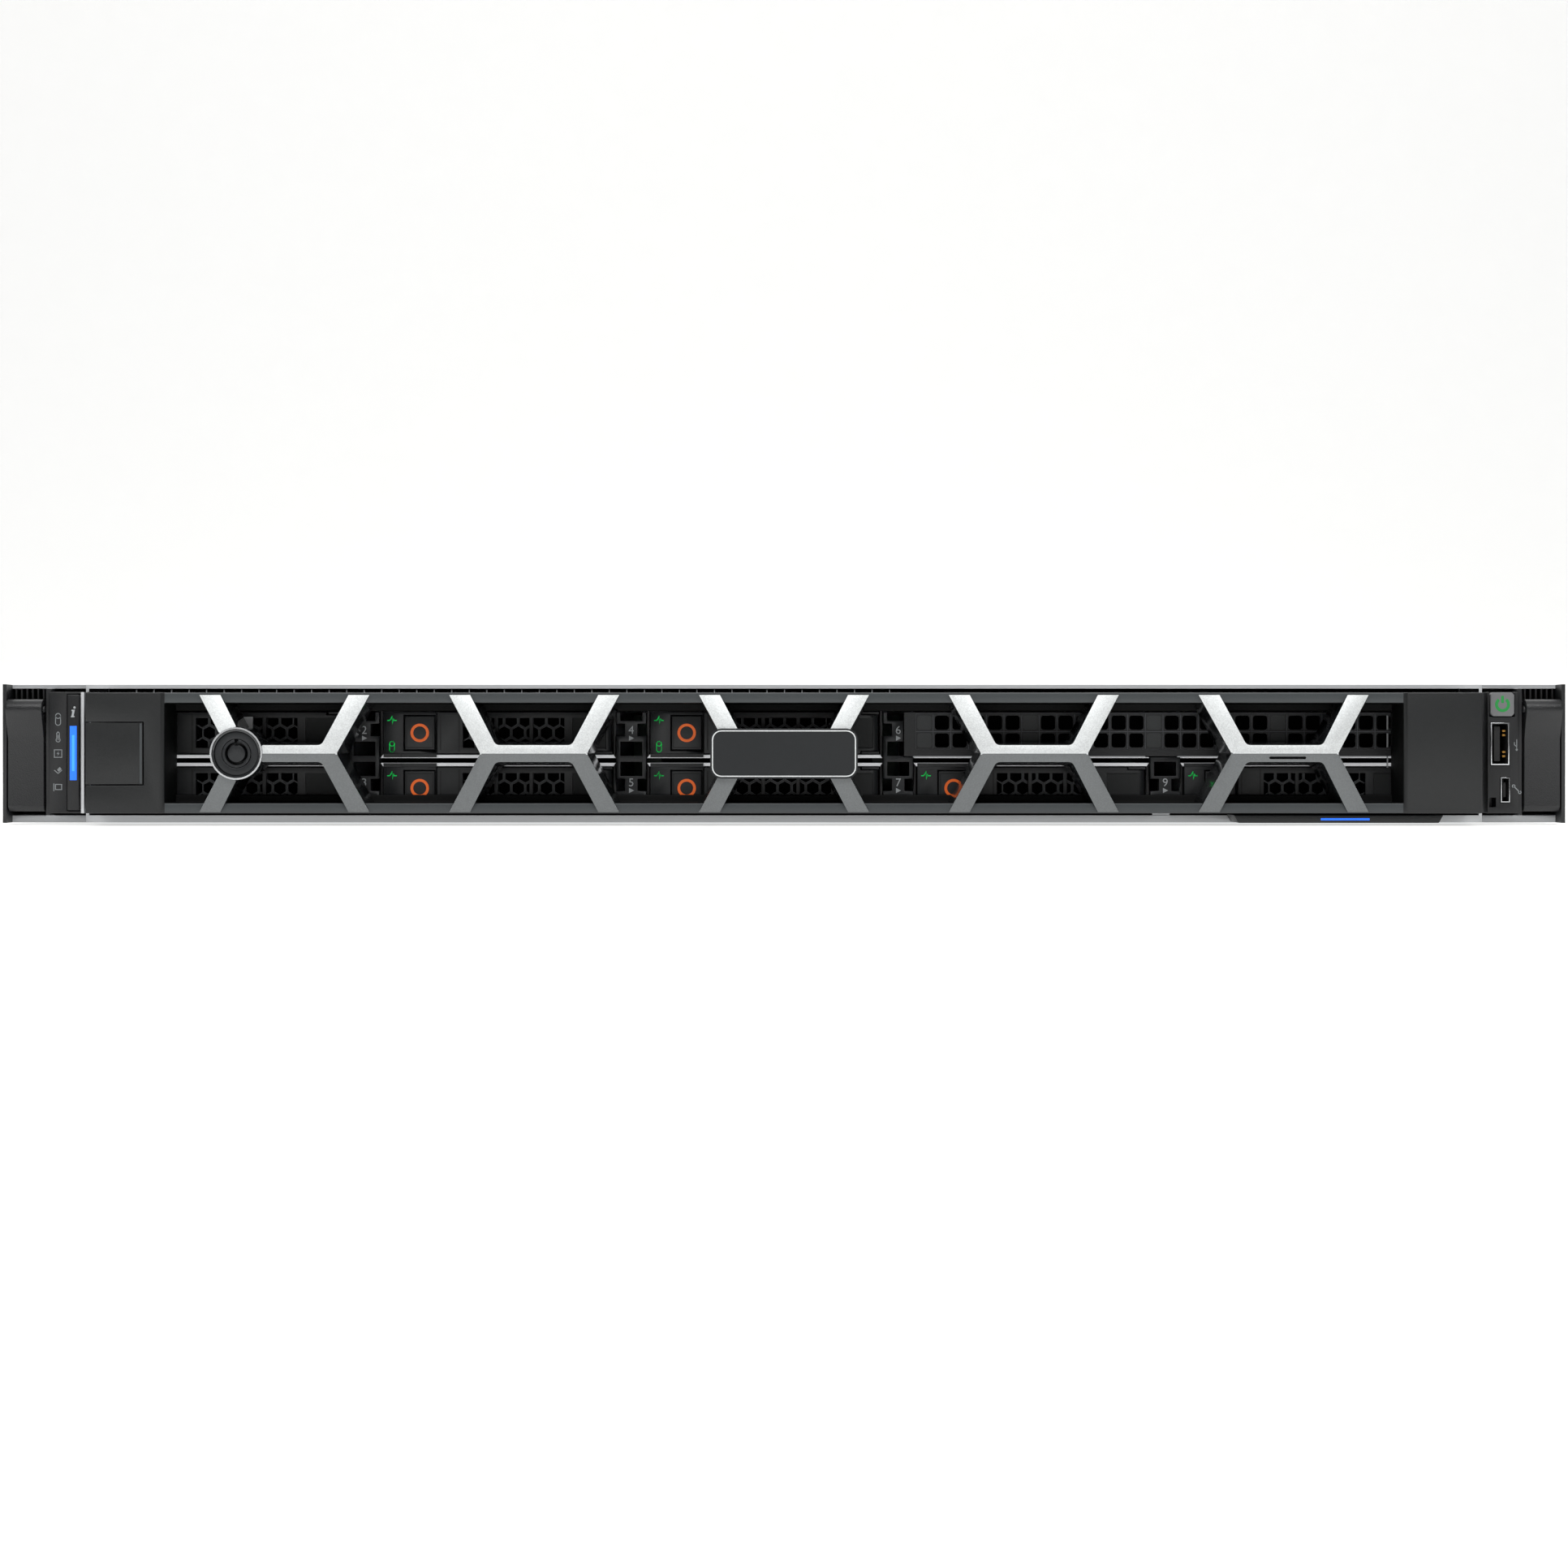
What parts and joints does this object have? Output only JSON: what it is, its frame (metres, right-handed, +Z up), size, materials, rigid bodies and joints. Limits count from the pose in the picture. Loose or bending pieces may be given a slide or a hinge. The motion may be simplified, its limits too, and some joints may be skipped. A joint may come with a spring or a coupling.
{
  "type": "1u rack server",
  "caption": "Slim rack-mount server with a hexagon-pattern security bezel, hot-plug drives, slam-latch ears and slide-in power supplies.",
  "frame": {"origin": "under the middle of the whole machine, on its underside", "axes": "+X to the right seen from the front, +Y to the rear, +Z up"},
  "size_m": [0.482, 0.5986, 0.0428],
  "materials": {
    "zinc_steel": "satin",
    "black_steel": "matte",
    "dark_plastic": "fine matte",
    "bezel_plastic": "fine matte",
    "bar_metal": "satin",
    "lock_metal": "polished",
    "drive_metal": "satin",
    "button_plastic": "matte",
    "light_plastic": "satin",
    "power_plastic": "satin",
    "board_green": "satin",
    "sink_metal": "satin",
    "fan_plastic": "matte",
    "socket_metal": "satin",
    "supply_metal": "satin",
    "tab_plastic": "matte",
    "latch_blue": "matte"
  },
  "bodies": {
    "chassis": {"chassis_tray": "zinc_steel", "drive_cage": "zinc_steel", "bay_dividers": "dark_plastic", "blank_panel": "dark_plastic", "backplane": "board_green", "left_ear": "black_steel", "right_ear": "black_steel", "left_control_panel": "dark_plastic", "right_control_panel": "dark_plastic", "port_sockets": "socket_metal", "fan_frames": "fan_plastic", "mainboard": "board_green", "heatsink": "sink_metal", "memory_modules": "board_green", "air_shroud": "dark_plastic", "riser_card": "board_green"},
    "bezel": {"bezel_frame": "bezel_plastic", "bezel_bars": "bar_metal", "lock_barrel": "lock_metal"},
    "lock": {"lock_core": "lock_metal"},
    "bezel_button": {"release_button": "bezel_plastic"},
    "cover": {"top_cover": "zinc_steel"},
    "cover_lever": {"cover_latch": "latch_blue"},
    "tag": {"info_tag": "dark_plastic"},
    "power": {"power_button": "power_plastic"},
    "identify": {"id_button": "light_plastic"},
    "left_lever": {"left_latch": "dark_plastic"},
    "right_lever": {"right_latch": "dark_plastic"},
    "fan_1": {"fan_rotor_1": "fan_plastic"},
    "fan_2": {"fan_rotor_2": "fan_plastic"},
    "fan_3": {"fan_rotor_3": "fan_plastic"},
    "fan_4": {"fan_rotor_4": "fan_plastic"},
    "supply_1": {"psu_1": "supply_metal"},
    "supply_tab_1": {"psu_latch_1": "tab_plastic"},
    "supply_2": {"psu_2": "supply_metal"},
    "supply_tab_2": {"psu_latch_2": "tab_plastic"},
    "drive_1": {"drive_carrier_1": "drive_metal"},
    "handle_1": {"drive_handle_1": "dark_plastic"},
    "button_1": {"drive_button_1": "button_plastic"},
    "drive_2": {"drive_carrier_2": "drive_metal"},
    "handle_2": {"drive_handle_2": "dark_plastic"},
    "button_2": {"drive_button_2": "button_plastic"},
    "drive_3": {"drive_carrier_3": "drive_metal"},
    "handle_3": {"drive_handle_3": "dark_plastic"},
    "button_3": {"drive_button_3": "button_plastic"},
    "drive_4": {"drive_carrier_4": "drive_metal"},
    "handle_4": {"drive_handle_4": "dark_plastic"},
    "button_4": {"drive_button_4": "button_plastic"},
    "drive_5": {"drive_carrier_5": "drive_metal"},
    "handle_5": {"drive_handle_5": "dark_plastic"},
    "button_5": {"drive_button_5": "button_plastic"},
    "drive_6": {"drive_carrier_6": "drive_metal"},
    "handle_6": {"drive_handle_6": "dark_plastic"},
    "button_6": {"drive_button_6": "button_plastic"},
    "drive_7": {"drive_carrier_7": "drive_metal"},
    "handle_7": {"drive_handle_7": "dark_plastic"},
    "button_7": {"drive_button_7": "button_plastic"},
    "drive_8": {"drive_carrier_8": "drive_metal"},
    "handle_8": {"drive_handle_8": "dark_plastic"},
    "button_8": {"drive_button_8": "button_plastic"}
  },
  "joints": [
    {"name": "bezel_pull", "type": "slide", "parent": "chassis", "child": "bezel", "axis": [0, -1, 0], "range_m": [0, 0.25]},
    {"name": "lock_turn", "type": "hinge", "parent": "bezel", "child": "lock", "pos_m": [-0.1664, -0.2903, 0.0214], "axis": [0, -1, 0], "range_deg": [0, 90]},
    {"name": "bezel_release", "type": "slide", "parent": "bezel", "child": "bezel_button", "axis": [0, 1, 0], "range_m": [0, 0.002], "stiffness_N_per_m": 400},
    {"name": "cover_lift", "type": "slide", "parent": "chassis", "child": "cover", "axis": [0, 0, 1], "range_m": [0, 0.12]},
    {"name": "cover_latch_swing", "type": "hinge", "parent": "cover", "child": "cover_lever", "pos_m": [0, 0.0751, 0.0402], "axis": [1, 0, 0], "range_deg": [0, 75]},
    {"name": "tag_slide", "type": "slide", "parent": "chassis", "child": "tag", "axis": [0, -1, 0], "range_m": [0, 0.055]},
    {"name": "power_press", "type": "slide", "parent": "chassis", "child": "power", "axis": [0, 1, 0], "range_m": [0, 0.0008], "stiffness_N_per_m": 600},
    {"name": "id_press", "type": "slide", "parent": "chassis", "child": "identify", "axis": [0, 1, 0], "range_m": [0, 0.0008], "stiffness_N_per_m": 600},
    {"name": "left_latch_swing", "type": "hinge", "parent": "chassis", "child": "left_lever", "pos_m": [-0.23385, -0.2852, 0.035], "axis": [-1, 0, 0], "range_deg": [0, 85], "stiffness_Nm_per_rad": 0.02},
    {"name": "right_latch_swing", "type": "hinge", "parent": "chassis", "child": "right_lever", "pos_m": [0.23385, -0.2852, 0.035], "axis": [-1, 0, 0], "range_deg": [0, 85], "stiffness_Nm_per_rad": 0.02},
    {"name": "fan_spin_1", "type": "hinge", "parent": "chassis", "child": "fan_1", "pos_m": [-0.078, -0.1307, 0.0212], "axis": [0, 1, 0], "continuous": true},
    {"name": "fan_spin_2", "type": "hinge", "parent": "chassis", "child": "fan_2", "pos_m": [-0.026, -0.1307, 0.0212], "axis": [0, 1, 0], "continuous": true},
    {"name": "fan_spin_3", "type": "hinge", "parent": "chassis", "child": "fan_3", "pos_m": [0.026, -0.1307, 0.0212], "axis": [0, 1, 0], "continuous": true},
    {"name": "fan_spin_4", "type": "hinge", "parent": "chassis", "child": "fan_4", "pos_m": [0.078, -0.1307, 0.0212], "axis": [0, 1, 0], "continuous": true},
    {"name": "psu_slide_1", "type": "slide", "parent": "chassis", "child": "supply_1", "axis": [0, 1, 0], "range_m": [0, 0.2]},
    {"name": "psu_latch_swing_1", "type": "hinge", "parent": "supply_1", "child": "supply_tab_1", "pos_m": [0.1359, 0.273, 0.021], "axis": [0, 0, 1], "range_deg": [0, 14], "stiffness_Nm_per_rad": 0.05},
    {"name": "psu_slide_2", "type": "slide", "parent": "chassis", "child": "supply_2", "axis": [0, 1, 0], "range_m": [0, 0.2]},
    {"name": "psu_latch_swing_2", "type": "hinge", "parent": "supply_2", "child": "supply_tab_2", "pos_m": [0.2114, 0.273, 0.021], "axis": [0, 0, 1], "range_deg": [0, 14], "stiffness_Nm_per_rad": 0.05},
    {"name": "drive_slide_1", "type": "slide", "parent": "chassis", "child": "drive_1", "axis": [0, -1, 0], "range_m": [0, 0.12]},
    {"name": "handle_swing_1", "type": "hinge", "parent": "drive_1", "child": "handle_1", "pos_m": [-0.1394, -0.2747, 0.02785], "axis": [0, 0, 1], "range_deg": [0, 50]},
    {"name": "drive_button_press_1", "type": "slide", "parent": "drive_1", "child": "button_1", "axis": [0, 1, 0], "range_m": [0, 0.0015], "stiffness_N_per_m": 300},
    {"name": "drive_slide_2", "type": "slide", "parent": "chassis", "child": "drive_2", "axis": [0, -1, 0], "range_m": [0, 0.12]},
    {"name": "handle_swing_2", "type": "hinge", "parent": "drive_2", "child": "handle_2", "pos_m": [-0.1394, -0.2747, 0.01065], "axis": [0, 0, 1], "range_deg": [0, 50]},
    {"name": "drive_button_press_2", "type": "slide", "parent": "drive_2", "child": "button_2", "axis": [0, 1, 0], "range_m": [0, 0.0015], "stiffness_N_per_m": 300},
    {"name": "drive_slide_3", "type": "slide", "parent": "chassis", "child": "drive_3", "axis": [0, -1, 0], "range_m": [0, 0.12]},
    {"name": "handle_swing_3", "type": "hinge", "parent": "drive_3", "child": "handle_3", "pos_m": [-0.0563, -0.2747, 0.02785], "axis": [0, 0, 1], "range_deg": [0, 50]},
    {"name": "drive_button_press_3", "type": "slide", "parent": "drive_3", "child": "button_3", "axis": [0, 1, 0], "range_m": [0, 0.0015], "stiffness_N_per_m": 300},
    {"name": "drive_slide_4", "type": "slide", "parent": "chassis", "child": "drive_4", "axis": [0, -1, 0], "range_m": [0, 0.12]},
    {"name": "handle_swing_4", "type": "hinge", "parent": "drive_4", "child": "handle_4", "pos_m": [-0.0563, -0.2747, 0.01065], "axis": [0, 0, 1], "range_deg": [0, 50]},
    {"name": "drive_button_press_4", "type": "slide", "parent": "drive_4", "child": "button_4", "axis": [0, 1, 0], "range_m": [0, 0.0015], "stiffness_N_per_m": 300},
    {"name": "drive_slide_5", "type": "slide", "parent": "chassis", "child": "drive_5", "axis": [0, -1, 0], "range_m": [0, 0.12]},
    {"name": "handle_swing_5", "type": "hinge", "parent": "drive_5", "child": "handle_5", "pos_m": [0.0268, -0.2747, 0.02785], "axis": [0, 0, 1], "range_deg": [0, 50]},
    {"name": "drive_button_press_5", "type": "slide", "parent": "drive_5", "child": "button_5", "axis": [0, 1, 0], "range_m": [0, 0.0015], "stiffness_N_per_m": 300},
    {"name": "drive_slide_6", "type": "slide", "parent": "chassis", "child": "drive_6", "axis": [0, -1, 0], "range_m": [0, 0.12]},
    {"name": "handle_swing_6", "type": "hinge", "parent": "drive_6", "child": "handle_6", "pos_m": [0.0268, -0.2747, 0.01065], "axis": [0, 0, 1], "range_deg": [0, 50]},
    {"name": "drive_button_press_6", "type": "slide", "parent": "drive_6", "child": "button_6", "axis": [0, 1, 0], "range_m": [0, 0.0015], "stiffness_N_per_m": 300},
    {"name": "drive_slide_7", "type": "slide", "parent": "chassis", "child": "drive_7", "axis": [0, -1, 0], "range_m": [0, 0.12]},
    {"name": "handle_swing_7", "type": "hinge", "parent": "drive_7", "child": "handle_7", "pos_m": [0.1099, -0.2747, 0.01065], "axis": [0, 0, 1], "range_deg": [0, 50]},
    {"name": "drive_button_press_7", "type": "slide", "parent": "drive_7", "child": "button_7", "axis": [0, 1, 0], "range_m": [0, 0.0015], "stiffness_N_per_m": 300},
    {"name": "drive_slide_8", "type": "slide", "parent": "chassis", "child": "drive_8", "axis": [0, -1, 0], "range_m": [0, 0.12]},
    {"name": "handle_swing_8", "type": "hinge", "parent": "drive_8", "child": "handle_8", "pos_m": [0.193, -0.2747, 0.01065], "axis": [0, 0, 1], "range_deg": [0, 50]},
    {"name": "drive_button_press_8", "type": "slide", "parent": "drive_8", "child": "button_8", "axis": [0, 1, 0], "range_m": [0, 0.0015], "stiffness_N_per_m": 300}
  ],
  "couplings": [
    {"joint": "drive_slide_1", "follows": "bezel_pull", "ratio": 0.48},
    {"joint": "handle_swing_1", "follows": "bezel_pull", "rad_per_m": 3.49},
    {"joint": "drive_slide_2", "follows": "bezel_pull", "ratio": 0.48},
    {"joint": "handle_swing_2", "follows": "bezel_pull", "rad_per_m": 3.49},
    {"joint": "drive_slide_3", "follows": "bezel_pull", "ratio": 0.48},
    {"joint": "handle_swing_3", "follows": "bezel_pull", "rad_per_m": 3.49},
    {"joint": "drive_slide_4", "follows": "bezel_pull", "ratio": 0.48},
    {"joint": "handle_swing_4", "follows": "bezel_pull", "rad_per_m": 3.49},
    {"joint": "drive_slide_5", "follows": "bezel_pull", "ratio": 0.48},
    {"joint": "handle_swing_5", "follows": "bezel_pull", "rad_per_m": 3.49},
    {"joint": "drive_slide_6", "follows": "bezel_pull", "ratio": 0.48},
    {"joint": "handle_swing_6", "follows": "bezel_pull", "rad_per_m": 3.49},
    {"joint": "drive_slide_7", "follows": "bezel_pull", "ratio": 0.48},
    {"joint": "handle_swing_7", "follows": "bezel_pull", "rad_per_m": 3.49},
    {"joint": "drive_slide_8", "follows": "bezel_pull", "ratio": 0.48},
    {"joint": "handle_swing_8", "follows": "bezel_pull", "rad_per_m": 3.49}
  ]
}
